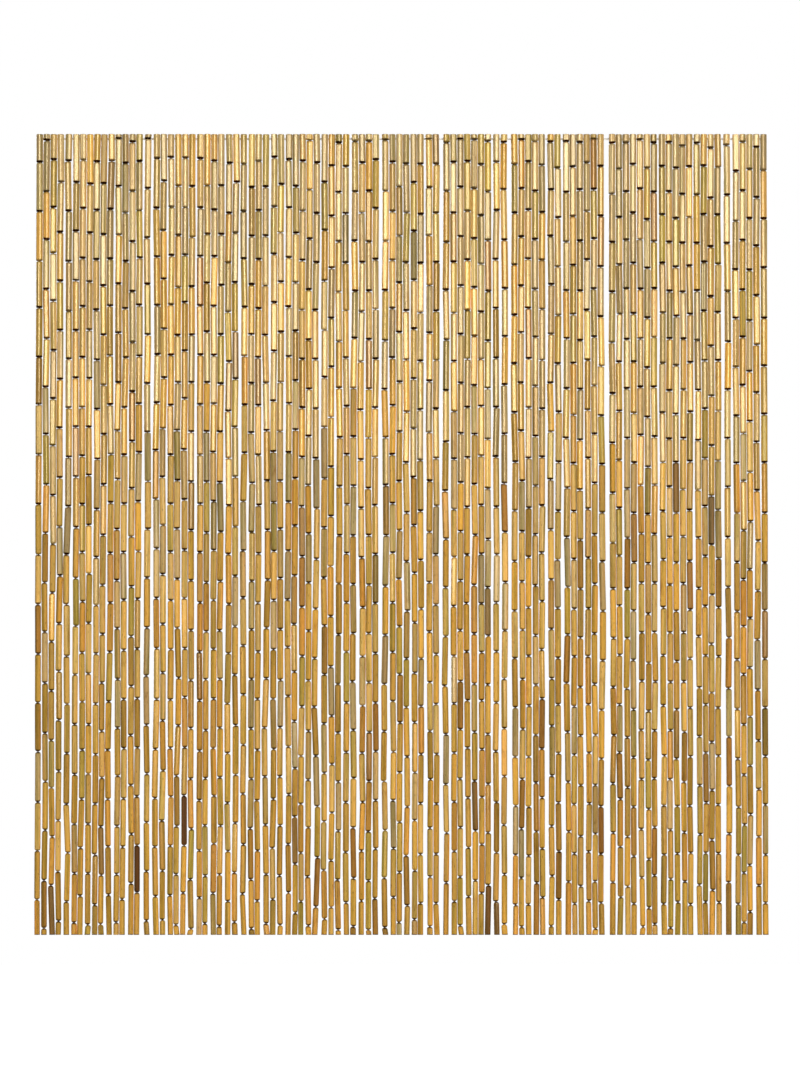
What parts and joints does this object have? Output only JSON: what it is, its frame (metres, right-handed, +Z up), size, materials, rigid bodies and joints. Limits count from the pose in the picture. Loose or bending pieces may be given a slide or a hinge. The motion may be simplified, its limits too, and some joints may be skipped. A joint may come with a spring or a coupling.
{
  "type": "bamboo door curtain",
  "caption": "Door curtain of slim bamboo tubes strung end to end in hanging strands, side by side from a thin heading cord.",
  "frame": {"origin": "middle of the curtain's top edge, level with the cut tops of the strands", "axes": "+X across the doorway, -Y towards the viewer in front of the curtain, +Z up along the strands"},
  "size_m": [0.9, 0.009, 0.98],
  "materials": {
    "bamboo": "polished natural cane, from straw to brown",
    "wire": "dull brown tarnished wire",
    "heading_cord": "twisted undyed cotton cord"
  },
  "bodies": {
    "root": {"strand_comb": "bamboo"}
  },
  "joints": []
}
